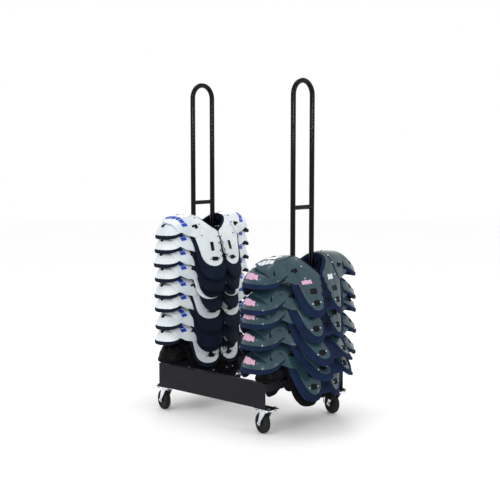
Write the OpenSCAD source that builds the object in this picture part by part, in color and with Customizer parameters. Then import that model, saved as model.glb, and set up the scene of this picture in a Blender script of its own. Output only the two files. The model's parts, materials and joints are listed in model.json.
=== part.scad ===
// Rolling shoulder-pad rack with two demountable hoop posts, loaded with two stacks of pads.
// Millimetres, +Z up, origin on the floor under the middle of the loaded rack's own box.
// +X runs along the base from one post to the other, and every pad's chest faces +X.

/* [Base] */
// X of the base's centre, which is off the origin because the right stack's chests stand out at one end
base_x = -39; // [-45:1:-30]
// Length of a side panel along X
panel_len = 745; // [700:5:800]
// Height of a side panel
panel_h = 123; // [110:1:135]
// Distance between the outer faces of the two side panels
base_w = 596; // [590:1:620]
// Sheet thickness of the side panels
sheet_t = 2; // [1.5:0.5:3]
// Width of the flanges that the side panels turn inward
flange_w = 30; // [22:1:36]
// Width of an end channel along X
channel_w = 50; // [44:1:52]
// Height of an end channel
channel_h = 38; // [34:1:42]

/* [Posts and hoops] */
// Distance from the base's centre to a post along X
post_x = 345; // [335:1:347]
// Distance between the two legs of a post, centre to centre
leg_gap = 141; // [135:1:150]
// Outer diameter of the post and hoop tube
tube_d = 25.4; // [22:0.1:27]
// Height of the hoop's top above the floor
rack_h = 1702; // [1600:1:1800]
// Height of the slip joint between a post and its hoop
joint_z = 1121; // [1060:1:1200]
// Height of the crossbar's centre line
crossbar_z = 1078; // [1040:1:1090]
// Diameter of the crossbar
crossbar_d = 22.2; // [18:0.1:24]
// Length of the hoop's spigot inside the post tube
spigot_len = 100; // [60:1:120]

/* [Casters] */
// Wheel diameter
wheel_d = 101.6; // [90:0.1:104]
// Wheel width
wheel_w = 30; // [26:1:31]
// Overall height of a caster, floor to the top of its plate
caster_h = 126; // [124:1:132]
// Distance from the base's centre to a caster's swivel along X
caster_x = 350; // [345:1:352]
// Distance from the base's centre to a caster's swivel along Y
caster_y = 266; // [260:1:267]
// Trail, from the swivel axis to the axle
trail = 32; // [26:1:34]
// Direction in which the wheels trail, in degrees from +X
trail_dir = 163; // [0:1:359]

/* [Pads] */
// Thickness of a pad's cushions
cushion_t = 12; // [8:1:12]
// Thickness of a pad's hard shells
shell_t = 3; // [2:0.5:3]
// Half the width of the neck opening where the post's legs pass
neck_half = 98; // [96:1:102]
// Thickest that a shoulder cushion may be
shoulder_max = 50; // [30:1:60]
// Ridge height of each white pad in the left stack, from the top
white_ridges = [1019, 947, 873, 798, 712, 642, 552, 472]; // [400:1:1060]
// Ridge height of each grey pad in the right stack, from the top
grey_ridges = [853, 733, 667, 561, 451]; // [400:1:900]

/* [Hidden] */
$fn = 64;
white_count = len(white_ridges);
grey_count = len(grey_ridges);
corner_names = ["front_left", "front_right", "rear_left", "rear_right"];
corner_signs = [[-1, -1], [1, -1], [-1, 1], [1, 1]];

gusset_t = 3;
gusset_l = 96;
gusset_w = 72;
plate_l = 92;
plate_w = 60;
plate_t = 3;
bolt_dx = 74;
bolt_dy = 44;
bolt_d = 8;
panel_z0 = caster_h + gusset_t;
panel_top = panel_z0 + panel_h;
channel_top = panel_top - sheet_t;
channel_wall = 2;
tube_r = tube_d / 2;
tube_wall = 1.65;
bend_r = leg_gap / 2;
spigot_r = tube_r - tube_wall - 0.08;
hoop_seat_gap = 0.2;
post_foot_z = channel_top - channel_h - 6;
collar_h = 12;
collar_r = 21;
fork_leg_t = 3;
fork_gap = wheel_w + 6;
fork_top_z = caster_h - 11;
axle_r = 4;
pin_r = 5;
run_gap = 0.05;

// Where the chest plates of each pad end and where they bend: [end x, end z, bend x, bend z] from the ridge.
white_chests = [[165, -262, 142, -196], [161, -255, 139, -191], [158, -250, 137, -188], [148, -214, 130, -164],
                [152, -230, 133, -175], [152, -240, 133, -181], [148, -238, 130, -179], [138, -228, 124, -173]];
grey_chests = [[174, -255, 146, -190], [182, -257, 152, -193], [232, -290, 148, -205], [238, -256, 172, -186],
               [166, -262, 147, -195]];
black_chest = [136, -222, 121, -169];

// A bent plate follows a line that runs from its chest end, or outer end, inward and over the top.
// Each point of the line has the two edges of the plate across the line.
function arch_line(chest) =
    [[chest[0], chest[1]], [chest[2], chest[3]], [96, -66], [38, -6], [-38, -8], [-88, -72], [-158, -268]];
arch_edges = [[6, 126], [8, 160], [16, 196], [neck_half, 232], [neck_half, 232], [24, 204], [10, 140]];
arch_liner_edges = [[4, 134], [6, 170], [14, 208], [neck_half, 232], [neck_half, 232], [20, 216], [8, 152]];
small_arch_line = [[black_chest[0], black_chest[1]], [black_chest[2], black_chest[3]], [92, -66], [38, -6], [-38, -8],
                   [-84, -70], [-138, -226]];
small_arch_edges = [[8, 112], [10, 146], [18, 184], [neck_half, 222], [neck_half, 222], [28, 190], [12, 122]];
small_arch_liner_edges = [[6, 120], [8, 154], [16, 194], [neck_half, 222], [neck_half, 222], [24, 200], [10, 132]];
white_cap_line = [[316, -113], [306, -60], [282, -20], [238, -10]];
white_cap_halves = [46, 74, 76, 66];
grey_cap_line = [[368, -132], [346, -72], [300, -26], [238, -10]];
grey_cap_halves = [48, 84, 90, 72];
black_cap_line = [[300, -129], [298, -72], [276, -24], [230, -12]];
black_cap_halves = [52, 72, 72, 60];
epaulet_line = [[284, -8], [236, 4], [150, 9]];
epaulet_halves = [54, 56, 50];
top_segment = 3;
cushion_gap = 0.6;
back_reach = 32;
white_reach = [72, 72, 30, 66, 72, 72, 10, 20];
grey_reach = 32;
shell_gap = 0.3;
rest_drop = 28;
panel_rest = 0.3;
black_ridge = panel_top + panel_rest - black_cap_line[0][1] + 2;

// Small shift and turn of each pad on its post: [shift in y, roll, pitch, twist].
white_lean = [[4, 0, 0, 1], [0, 0.2, -0.2, 0.6], [-2, 0, 0, -0.3], [0, 0.2, -0.2, 0.4],
              [-1, -0.1, 0, -0.2], [0, 0, 0, 0], [1, 0.2, -0.2, 0.5], [-1, 0, 0, -0.2]];
grey_lean = [[6, 0, 0, 2], [-2, 0.3, -0.2, 0.4], [-1, 0.2, -0.1, 0], [1, -0.2, 0.2, -0.6], [0, 0, 0, 0]];

module tube(len, r, wall) {
    difference() {
        cylinder(h = len, r = r);
        translate([0, 0, -1]) cylinder(h = len + 2, r = r - wall);
    }
}

module hex(across, len) {
    cylinder(h = len, r = across / sqrt(3), $fn = 6);
}

// --- base ---------------------------------------------------------------------------------

module side_panel(side) {
    y_out = base_w / 2;
    color([0.12, 0.12, 0.13])
    difference() {
        translate([-panel_len / 2, side < 0 ? -y_out : y_out - flange_w, panel_z0])
            cube([panel_len, flange_w, panel_h]);
        translate([-panel_len / 2 - 1, side < 0 ? -y_out + sheet_t : y_out - flange_w - 1, panel_z0 + sheet_t])
            cube([panel_len + 2, flange_w - sheet_t + 1, panel_h - 2 * sheet_t]);
        for (s = [-1, 1]) caster_bolt_holes(s, side);
    }
}

module caster_bolt_holes(sx, sy) {
    for (i = [-1, 1], j = [-1, 1])
        translate([sx * caster_x + i * bolt_dx / 2, sy * caster_y + j * bolt_dy / 2, caster_h - 10])
            cylinder(h = 30, r = bolt_d / 2 + 0.25);
}

module end_channel(side) {
    inner = base_w - 2 * sheet_t;
    color([0.12, 0.12, 0.13])
    difference() {
        translate([side * post_x - channel_w / 2, -inner / 2, channel_top - channel_h])
            cube([channel_w, inner, channel_h]);
        translate([side * post_x - channel_w / 2 + channel_wall, -inner / 2 - 1,
                   channel_top - channel_h + channel_wall])
            cube([channel_w - 2 * channel_wall, inner + 2, channel_h - 2 * channel_wall]);
        for (leg = [-1, 1])
            translate([side * post_x, leg * bend_r, channel_top - channel_h - 1])
                cylinder(h = channel_h + 2, r = tube_r + 0.2);
    }
}

module corner_gussets() {
    color([0.1, 0.1, 0.11])
    for (c = corner_signs)
        difference() {
            translate([c[0] * (caster_x - 2) - gusset_l / 2,
                       c[1] * (base_w / 2 - gusset_w / 2) - gusset_w / 2, caster_h])
                cube([gusset_l, gusset_w, gusset_t]);
            caster_bolt_holes(c[0], c[1]);
        }
}

module caster_bolts() {
    head_h = 5.3;
    nut_h = 6.5;
    color([0.15, 0.15, 0.16])
    for (c = corner_signs, i = [-1, 1], j = [-1, 1]) {
        x = c[0] * caster_x + i * bolt_dx / 2;
        y = c[1] * caster_y + j * bolt_dy / 2;
        on_panel = abs(x) < panel_len / 2 && abs(y) > base_w / 2 - flange_w;
        top = caster_h + gusset_t + (on_panel ? sheet_t : 0);
        translate([x, y, caster_h - plate_t - head_h]) hex(13, head_h);
        translate([x, y, caster_h - plate_t - 1])
            cylinder(h = top + nut_h + 3 - caster_h + plate_t + 1, r = bolt_d / 2);
        translate([x, y, top]) hex(13, nut_h);
    }
}

module post_collars() {
    color([0.1, 0.1, 0.11])
    for (side = [-1, 1], leg = [-1, 1])
        translate([side * post_x, leg * bend_r, channel_top])
            difference() {
                union() {
                    cylinder(h = 3, r = collar_r);
                    cylinder(h = collar_h, r = tube_r + 3);
                }
                translate([0, 0, -1]) cylinder(h = collar_h + 2, r = tube_r + 0.1);
            }
}

// --- posts and hoops ------------------------------------------------------------------------

module post_tubes(side) {
    color([0.03, 0.03, 0.04])
    for (leg = [-1, 1])
        translate([side * post_x, leg * bend_r, post_foot_z])
            tube(joint_z - post_foot_z, tube_r, tube_wall);
}

module post_crossbar(side) {
    color([0.03, 0.03, 0.04])
    translate([side * post_x, 0, crossbar_z])
        difference() {
            rotate([90, 0, 0]) cylinder(h = leg_gap - 4, r = crossbar_d / 2, center = true);
            for (leg = [-1, 1])
                translate([0, leg * bend_r, -20]) cylinder(h = 40, r = tube_r + 0.02);
        }
}

module hoop(side) {
    seat_z = joint_z + hoop_seat_gap;
    bend_z = rack_h - tube_r - bend_r;
    color([0.03, 0.03, 0.04])
    translate([side * post_x, 0, 0]) {
        for (leg = [-1, 1]) {
            translate([0, leg * bend_r, seat_z]) tube(bend_z - seat_z, tube_r, tube_wall);
            translate([0, leg * bend_r, joint_z - spigot_len]) tube(spigot_len + 20, spigot_r, 2);
            translate([0, leg * bend_r, seat_z]) tube(14, tube_r, tube_r - spigot_r + 1);
        }
        translate([0, 0, bend_z]) rotate([90, 0, 90])
            rotate_extrude(angle = 180) translate([bend_r, 0])
                difference() {
                    circle(r = tube_r);
                    circle(r = tube_r - tube_wall);
                }
    }
}

// --- casters --------------------------------------------------------------------------------

module at_corner(n) {
    translate([corner_signs[n][0] * caster_x, corner_signs[n][1] * caster_y, 0])
        rotate([0, 0, trail_dir]) children();
}

module caster_plate(n) {
    color([0.75, 0.77, 0.78])
    difference() {
        translate([corner_signs[n][0] * caster_x, corner_signs[n][1] * caster_y, 0])
            union() {
                translate([-plate_l / 2, -plate_w / 2, caster_h - plate_t]) cube([plate_l, plate_w, plate_t]);
                translate([0, 0, fork_top_z + 0.4]) cylinder(h = caster_h - plate_t - fork_top_z - 0.4, r = 21);
                translate([0, 0, fork_top_z - 5]) cylinder(h = 6, r = pin_r);
                translate([0, 0, fork_top_z - 8]) cylinder(h = 3.5, r = 9);
            }
        caster_bolt_holes(corner_signs[n][0], corner_signs[n][1]);
    }
}

module fork_leg_outline() {
    axle_z = wheel_d / 2;
    difference() {
        union() {
            polygon([[-24, fork_top_z - 4], [24, fork_top_z - 4], [trail + 9, axle_z + 5],
                     [trail + 9, axle_z - 4], [trail - 9, axle_z - 4], [trail - 12, axle_z + 8]]);
            translate([trail, axle_z - 3]) circle(r = 10);
        }
        translate([trail, axle_z]) circle(r = axle_r + 0.02);
    }
}

module caster_fork(n) {
    color([0.78, 0.8, 0.8])
    at_corner(n) {
        difference() {
            union() {
                translate([0, 0, fork_top_z - 4]) cylinder(h = 4, r = 24);
                translate([-24, -fork_gap / 2 - fork_leg_t, fork_top_z - 4])
                    cube([48, fork_gap + 2 * fork_leg_t, 4]);
            }
            translate([0, 0, fork_top_z - 5]) cylinder(h = 6, r = pin_r + run_gap);
        }
        for (s = [-1, 1])
            translate([0, s * (fork_gap + fork_leg_t) / 2 + fork_leg_t / 2, 0])
                rotate([90, 0, 0]) linear_extrude(fork_leg_t) fork_leg_outline();
    }
}

module caster_axle(n) {
    half = fork_gap / 2 + fork_leg_t;
    color([0.7, 0.72, 0.73])
    at_corner(n) translate([trail, 0, wheel_d / 2]) rotate([90, 0, 0]) {
        translate([0, 0, -half - 7]) cylinder(h = 2 * half + 14, r = axle_r);
        translate([0, 0, half]) hex(13, 5.3);
        translate([0, 0, -half - 6.5]) hex(13, 6.5);
    }
}

module caster_wheel(n) {
    r = wheel_d / 2;
    color([0.04, 0.04, 0.05])
    at_corner(n) translate([trail, 0, r]) rotate([90, 0, 0])
        rotate_extrude()
            polygon([[axle_r + run_gap, -wheel_w / 2 - 2], [12, -wheel_w / 2 - 2], [14, -wheel_w / 2 + 6],
                     [r - 16, -wheel_w / 2 + 6], [r - 12, -wheel_w / 2], [r - 4, -wheel_w / 2],
                     [r, -wheel_w / 2 + 5], [r, wheel_w / 2 - 5], [r - 4, wheel_w / 2],
                     [r - 12, wheel_w / 2], [r - 16, wheel_w / 2 - 6], [14, wheel_w / 2 - 6],
                     [12, wheel_w / 2 + 2], [axle_r + run_gap, wheel_w / 2 + 2]]);
}

// --- pads -----------------------------------------------------------------------------------

function unit(v) = v / norm(v);

// Outward normal of the stretch of a line from point a to point b.
function side_normal(a, b) = unit([b[1] - a[1], a[0] - b[0]]);

// The way that point i moves when the whole line is offset outward by 1.
function mitre(line, i) =
    let (last = len(line) - 1,
         before = side_normal(line[max(i - 1, 0)], line[max(i - 1, 0) + 1]),
         after = side_normal(line[min(i, last - 1)], line[min(i, last - 1) + 1]))
    (before + after) / (1 + before * after);

// The points and their mitres along a whole line, and along one stretch of it drawn in at both ends.
function whole_path(line) = [for (i = [0 : len(line) - 1]) [line[i], mitre(line, i)]];
function stretch_path(line, i) =
    let (along = unit(line[i + 1] - line[i]) * cushion_gap)
    [[line[i] + along, mitre(line, i)], [line[i + 1] - along, mitre(line, i + 1)]];

// A plate bent along a path in the XZ plane. Each ring has four corners: inner and outer side,
// each at both edges along Y.
module bent_plate(path, edges, outer, inner) {
    last = len(path) - 1;
    points = [for (i = [0 : last], offset = [inner, outer], edge = edges[i])
        let (p = path[i][0] + path[i][1] * offset) [p[0], edge, p[1]]];
    ends = [[0, 2, 3], [0, 3, 1], [4 * last, 4 * last + 1, 4 * last + 3], [4 * last, 4 * last + 3, 4 * last + 2]];
    sides = [for (i = [0 : last - 1], f = [[2, 6, 7, 3], [0, 1, 5, 4], [0, 4, 6], [0, 6, 2], [1, 3, 7], [1, 7, 5]])
        [for (corner = f) 4 * i + corner]];
    polyhedron(points, concat(ends, sides));
}

// The same line with its chest end carried on straight by reach and its back end by back_reach.
function reached(line, reach) =
    let (last = len(line) - 1)
    [for (i = [0 : last])
        i == 0 ? line[0] + unit(line[0] - line[1]) * reach
        : i == last ? line[last] + unit(line[last] - line[last - 1]) * back_reach
        : line[i]];

function symmetric(halves) = [for (h = halves) [-h, h]];

module both_sides() {
    children();
    mirror([0, 1, 0]) children();
}

module pad_liner(arch_shell_line, reach, edges, cap, halves, shoulder_t) {
    arch = reached(arch_shell_line, reach);
    outer = -shell_t - shell_gap;
    both_sides() {
        for (i = [0 : len(arch) - 2])
            bent_plate(stretch_path(arch, i), [edges[i], edges[i + 1]], outer,
                       outer - (i == top_segment ? shoulder_t : cushion_t));
        rotate([0, 0, 90])
            for (i = [0 : len(cap) - 2])
                bent_plate(stretch_path(cap, i), symmetric([halves[i], halves[i + 1]]), outer, outer - cushion_t);
    }
}

module pad_shells(arch, edges, cap, halves) {
    both_sides() {
        bent_plate(whole_path(arch), edges, 0, -shell_t);
        rotate([0, 0, 90]) {
            bent_plate(whole_path(cap), symmetric(halves), 0, -shell_t);
            bent_plate(whole_path(epaulet_line), symmetric(epaulet_halves), shell_t, 0);
        }
    }
}

module on_post(side, ridge, lean) {
    translate([side * post_x, lean[0], ridge]) rotate([lean[1], lean[2], lean[3]]) children();
}

// Thickness of the shoulder cushion that fills the room above the pad below.
function shoulder_fill(ridges, k) =
    let (below = k + 1 < len(ridges) ? ridges[k + 1] : black_ridge)
    min(shoulder_max, ridges[k] - below - rest_drop);

module white_pad_liner(k) {
    color([0.09, 0.1, 0.16])
    on_post(-1, white_ridges[k], white_lean[k])
        pad_liner(arch_line(white_chests[k]), white_reach[k], arch_liner_edges, white_cap_line, white_cap_halves,
                  shoulder_fill(white_ridges, k));
}

module white_pad_shells(k) {
    color([0.86, 0.87, 0.9])
    on_post(-1, white_ridges[k], white_lean[k])
        pad_shells(arch_line(white_chests[k]), arch_edges, white_cap_line, white_cap_halves);
}

module grey_pad_liner(k) {
    color([0.13, 0.17, 0.32])
    on_post(1, grey_ridges[k], grey_lean[k])
        pad_liner(arch_line(grey_chests[k]), grey_reach, arch_liner_edges, grey_cap_line, grey_cap_halves,
                  shoulder_fill(grey_ridges, k));
}

module grey_pad_shells(k) {
    color([0.27, 0.31, 0.34])
    on_post(1, grey_ridges[k], grey_lean[k])
        pad_shells(arch_line(grey_chests[k]), arch_edges, grey_cap_line, grey_cap_halves);
}

module black_pad_liner(side) {
    color([0.03, 0.03, 0.03])
    on_post(side, black_ridge, [0, 0, 0, 0])
        pad_liner(small_arch_line, grey_reach, small_arch_liner_edges, black_cap_line, black_cap_halves, cushion_t);
}

module black_pad_shells(side) {
    color([0.05, 0.05, 0.05])
    on_post(side, black_ridge, [0, 0, 0, 0])
        pad_shells(small_arch_line, small_arch_edges, black_cap_line, black_cap_halves);
}

translate([base_x, 0, 0]) {
    side_panel(-1);  // front_side_panel
    side_panel(1);  // rear_side_panel
    end_channel(-1);  // left_end_channel
    end_channel(1);  // right_end_channel
    corner_gussets();
    caster_bolts();
    post_collars();
    post_tubes(-1);  // left_post_tubes
    post_crossbar(-1);  // left_post_crossbar
    post_tubes(1);  // right_post_tubes
    post_crossbar(1);  // right_post_crossbar
    hoop(-1);  // left_hoop
    hoop(1);  // right_hoop
    for (n = [0 : 3]) {
        caster_plate(n);
        caster_fork(n);
        caster_axle(n);
        caster_wheel(n);
    }
    for (k = [1 : white_count]) {
        white_pad_liner(k - 1);
        white_pad_shells(k - 1);
    }
    for (k = [1 : grey_count]) {
        grey_pad_liner(k - 1);
        grey_pad_shells(k - 1);
    }
    black_pad_liner(-1);  // left_black_pad_liner
    black_pad_shells(-1);  // left_black_pad_shells
    black_pad_liner(1);  // right_black_pad_liner
    black_pad_shells(1);  // right_black_pad_shells
}
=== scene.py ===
"""A rolling shoulder pad rack with two stacks of football shoulder pads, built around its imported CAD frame.

Lengths in the pad functions are in millimetres, in a pad's own frame. X points to the chest, Y outward over
the arm and Z up, all from the ridge of the shoulders. `Patchwork.build` turns them into metres in the
shared frame.
"""
import json
import math

import bmesh
import bpy
import numpy as np
from mathutils import Euler, Matrix, Vector


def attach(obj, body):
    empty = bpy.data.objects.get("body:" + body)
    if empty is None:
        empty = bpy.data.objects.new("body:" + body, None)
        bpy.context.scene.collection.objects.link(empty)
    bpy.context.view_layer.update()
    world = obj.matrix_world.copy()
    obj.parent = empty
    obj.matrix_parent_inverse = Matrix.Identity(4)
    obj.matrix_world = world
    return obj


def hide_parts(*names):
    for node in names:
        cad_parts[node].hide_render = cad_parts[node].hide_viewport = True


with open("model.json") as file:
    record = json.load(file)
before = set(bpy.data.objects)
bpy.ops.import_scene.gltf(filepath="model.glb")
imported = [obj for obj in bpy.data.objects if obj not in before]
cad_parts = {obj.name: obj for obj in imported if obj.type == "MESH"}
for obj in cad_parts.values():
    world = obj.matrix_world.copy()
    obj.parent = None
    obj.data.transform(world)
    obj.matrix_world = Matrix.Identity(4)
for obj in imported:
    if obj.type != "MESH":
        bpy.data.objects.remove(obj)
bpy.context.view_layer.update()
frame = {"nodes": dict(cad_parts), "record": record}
NODES = frame["nodes"]
MM = 0.001

# The same places as in the CAD source.
BASE_X = -39
POST_X = 345
# Height of the ridge of each set over the floor, from the top of its stack down.
WHITE_RIDGES = [1019, 947, 873, 798, 712, 642, 552, 472]
GREY_RIDGES = [853, 733, 667, 561, 451]
BLACK_RIDGE = 383.3
# How each set leans: its shift along Y in millimetres, then its turns about X, Y and Z in degrees.
WHITE_LEANS = [(4, 0, 0, 1), (0, 0.2, -0.2, 0.6), (-2, 0, 0, -0.3), (0, 0.2, -0.2, 0.4),
               (-1, -0.1, 0, -0.2), (0, 0, 0, 0), (1, 0.2, -0.2, 0.5), (-1, 0, 0, -0.2)]
GREY_LEANS = [(6, 0, 0, 2), (-2, 0.3, -0.2, 0.4), (-1, 0.2, -0.1, 0), (1, -0.2, 0.2, -0.6), (0, 0, 0, 0)]
# Two points of each chest plate's line, in a pad's own frame: (x, z) at its end and (x, z) further up.
WHITE_CHESTS = [(165, -262, 142, -196), (161, -255, 139, -191), (158, -250, 137, -188),
                (148, -214, 130, -164), (152, -230, 133, -175), (152, -240, 133, -181),
                (148, -238, 130, -179), (138, -228, 124, -173)]
GREY_CHESTS = [(174, -255, 146, -190), (182, -257, 152, -193), (232, -290, 148, -205),
               (238, -256, 172, -186), (166, -262, 147, -195)]
# How far each white liner reaches past the end of its chest plate.
WHITE_REACH = [72, 72, 30, 66, 72, 72, 10, 20]
# How each white set hangs: shifts of its plate's outer edge, its plate's end and its liner's outer edge.
WHITE_HANG = [(0, 0, 0), (-16, 26, -6), (-16, 26, -26), (8, 0, -22),
              (10, 0, 0), (-16, 26, 0), (-16, 26, -16), (10, 0, 0)]
BLACK_CHEST = (136, -222, 121, -169)
AS_MADE = (0, 0, 0)
SQUARE = (0, 0, 0, 0)
LINER_REACH = 32  # what WHITE_REACH is for the grey and the black liners


# --- camera, light and floor ------------------------------

def build_camera():
    """A long lens, to the front and right of the rack, a little under the tops of the hoops."""
    camera = bpy.data.objects.new("camera", bpy.data.cameras.new("camera"))
    bpy.context.scene.collection.objects.link(camera)
    eye = Vector((3.727 + BASE_X * MM, -4.007, 1.390))
    target = Vector((BASE_X * MM, 0, 0.8))
    camera.location = eye
    camera.rotation_euler = (target - eye).to_track_quat("-Z", "Y").to_euler()
    camera.data.sensor_width = 36
    camera.data.lens = 77.44
    camera.data.shift_x = -0.0010
    camera.data.shift_y = 0.0176
    camera.data.clip_end = 100
    bpy.context.scene.camera = camera


def area_light(name, place, aim, size, power):
    """A white rectangular light at place that faces aim. size is (width, height)."""
    light = bpy.data.lights.new(name, "AREA")
    light.shape = "RECTANGLE"
    light.size, light.size_y = size
    light.energy = power
    holder = bpy.data.objects.new(name, light)
    holder.location = place
    holder.rotation_euler = (Vector(aim) - Vector(place)).to_track_quat("-Z", "Y").to_euler()
    bpy.context.scene.collection.objects.link(holder)


def build_lights():
    bpy.context.scene.view_settings.view_transform = "Standard"
    area_light("key", (0.6, -4.6, 3.4), (0, 0, 0.7), (0.9, 1.1), 34)
    area_light("side", (4.6, 0.8, 2.4), (0, 0, 0.8), (0.4, 2.2), 20)
    area_light("back", (-3.4, 3.6, 3.2), (0, 0, 0.8), (0.8, 1.6), 26)
    area_light("front", (4.3, -4.6, 1.6), (0, 0, 1.5), (0.3, 0.3), 40)
    area_light("top", (0, 0, 4.6), (0, 0, 0), (1.4, 1.4), 20)
    world = bpy.data.worlds.new("studio")
    world.use_nodes = True
    background = world.node_tree.nodes["Background"]
    background.inputs["Color"].default_value = (1.0, 1.0, 1.0, 1)
    background.inputs["Strength"].default_value = 1.0
    bpy.context.scene.world = world


def build_floor():
    mesh = bpy.data.meshes.new("floor")
    around = [2 * math.pi * i / 96 for i in range(96)]
    mesh.from_pydata([(14 * math.cos(a), 14 * math.sin(a), 0) for a in around], [], [list(range(96))])
    floor = bpy.data.objects.new("floor", mesh)
    bpy.context.scene.collection.objects.link(floor)
    floor.data.materials.append(MATERIALS["floor"])


# --- materials --------------------------------------------

class Shader:
    """A Principled material, with short calls for the nodes that the materials here share."""

    def __init__(self, name, colour, roughness, metallic=0.0, **constants):
        self.material = bpy.data.materials.new(name)
        self.material.use_nodes = True
        self.nodes = self.material.node_tree.nodes
        self.links = self.material.node_tree.links
        self.surface = self.nodes["Principled BSDF"]
        self.surface.inputs["Base Color"].default_value = (*colour, 1)
        self.surface.inputs["Roughness"].default_value = roughness
        self.surface.inputs["Metallic"].default_value = metallic
        for socket, value in constants.items():
            self.surface.inputs[socket.replace("_", " ")].default_value = value
        self.object_space = self.nodes.new("ShaderNodeTexCoord").outputs["Object"]
        self.material.diffuse_color = (*colour, 1)

    def noise(self, scale, detail=3.0, stretch=(1, 1, 1), distortion=0.0):
        mapping = self.nodes.new("ShaderNodeMapping")
        mapping.inputs["Scale"].default_value = stretch
        self.links.new(self.object_space, mapping.inputs["Vector"])
        texture = self.nodes.new("ShaderNodeTexNoise")
        texture.inputs["Scale"].default_value = scale
        texture.inputs["Detail"].default_value = detail
        texture.inputs["Distortion"].default_value = distortion
        self.links.new(mapping.outputs["Vector"], texture.inputs["Vector"])
        return texture.outputs["Fac"]

    def waves(self, scale, direction, distortion=0.4):
        texture = self.nodes.new("ShaderNodeTexWave")
        texture.bands_direction = direction
        texture.inputs["Scale"].default_value = scale
        texture.inputs["Distortion"].default_value = distortion
        texture.inputs["Detail Scale"].default_value = 2.0
        self.links.new(self.object_space, texture.inputs["Vector"])
        return texture.outputs["Fac"]

    def maths(self, operation, first, second):
        node = self.nodes.new("ShaderNodeMath")
        node.operation = operation
        for socket, value in zip(node.inputs, (first, second)):
            if isinstance(value, (int, float)):
                socket.default_value = value
            else:
                self.links.new(value, socket)
        return node.outputs["Value"]

    def ramp(self, value, stops):
        node = self.nodes.new("ShaderNodeValToRGB")
        elements = node.color_ramp.elements
        while len(elements) < len(stops):
            elements.new(0.5)
        for element, (at, colour) in zip(elements, stops):
            element.position = at
            element.color = (*colour, 1)
        self.links.new(value, node.inputs["Fac"])
        return node.outputs["Color"]

    def span(self, value, low, high, from_low=0.0, from_high=1.0):
        node = self.nodes.new("ShaderNodeMapRange")
        limits = {"From Min": from_low, "From Max": from_high, "To Min": low, "To Max": high}
        for socket, number in limits.items():
            node.inputs[socket].default_value = number
        self.links.new(value, node.inputs["Value"])
        return node.outputs["Result"]

    def colour(self, output):
        self.links.new(output, self.surface.inputs["Base Color"])

    def roughness(self, output):
        self.links.new(output, self.surface.inputs["Roughness"])

    def bump(self, height, strength, distance):
        node = self.nodes.new("ShaderNodeBump")
        node.inputs["Strength"].default_value = strength
        node.inputs["Distance"].default_value = distance
        self.links.new(height, node.inputs["Height"])
        self.links.new(node.outputs["Normal"], self.surface.inputs["Normal"])


def shade(colour, factor):
    """The colour made lighter or darker by a factor."""
    return tuple(min(1.0, c * factor) for c in colour)


def moulded_plastic(name, colour, dirt, roughness, coat, specular):
    """Glossy moulded shell with faint clouding in its colour, rubbed patches and fine scratches."""
    s = Shader(name, colour, roughness, Coat_Weight=coat, Coat_Roughness=0.08, Specular_IOR_Level=specular)
    clouds = s.noise(9, 5)
    s.colour(s.ramp(clouds, [(0.30, dirt), (0.52, colour), (0.80, shade(colour, 1.12))]))
    rubbed = s.noise(34, 6, (1, 1, 3.5), 0.6)
    s.roughness(s.span(rubbed, roughness * 0.75, roughness * 1.8, 0.35, 0.75))
    scratches = s.noise(210, 8, (1, 6, 1))
    s.bump(s.maths("ADD", s.maths("MULTIPLY", scratches, 0.25), s.noise(26, 2)), 0.12, 0.0012)
    return s.material


def woven_cloth(name, colour, light, thread_mm, sheen):
    """Nylon cloth over foam: two crossing thread directions, faded patches and a little sheen."""
    s = Shader(name, colour, 0.82, Sheen_Weight=sheen, Sheen_Roughness=0.45, Specular_IOR_Level=0.08)
    threads = 2 * math.pi / (20 * thread_mm * MM)
    weave = s.maths("MULTIPLY", s.waves(threads, "X"), s.waves(threads, "Z"))
    fade = s.noise(16, 4)
    mixed = s.maths("ADD", s.maths("MULTIPLY", weave, 0.35), s.maths("MULTIPLY", fade, 0.65))
    s.colour(s.ramp(mixed, [(0.22, shade(colour, 0.55)), (0.45, colour), (0.72, light)]))
    s.roughness(s.span(fade, 0.70, 0.92, 0.3, 0.7))
    creases = s.noise(60, 5, (1, 1, 2.2), 0.8)
    s.bump(s.maths("ADD", s.maths("MULTIPLY", weave, 0.35), creases), 0.45, 0.0016)
    return s.material


def gloss_paint(name, colour, roughness, peel, specular):
    """Baked enamel on tube: nearly black, with an orange-peel surface and dull rubbed patches."""
    s = Shader(name, colour, roughness, Specular_IOR_Level=specular)
    wear = s.noise(22, 6, (1, 1, 0.35), 0.3)
    s.colour(s.ramp(wear, [(0.30, shade(colour, 0.7)), (0.60, colour), (0.85, shade(colour, 1.9))]))
    s.roughness(s.span(wear, roughness * 0.9, roughness * 1.3, 0.35, 0.75))
    s.bump(s.noise(330, 3), peel, 0.0006)
    return s.material


def powder_coat(name, colour, roughness, specular):
    """Satin powder coat on sheet steel: fine pimples, soft smears and a few rubbed streaks."""
    s = Shader(name, colour, roughness, Specular_IOR_Level=specular)
    smears = s.noise(5, 6, (1, 1, 2.5), 0.5)
    s.colour(s.ramp(smears, [(0.28, shade(colour, 0.75)), (0.55, colour), (0.82, shade(colour, 1.5))]))
    streaks = s.noise(60, 5, (0.25, 1, 5))
    s.roughness(s.maths("ADD", s.span(smears, roughness * 0.85, roughness * 1.15, 0.3, 0.7),
                        s.maths("MULTIPLY", streaks, 0.08)))
    s.bump(s.noise(900, 2), 0.25, 0.0004)
    return s.material


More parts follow.
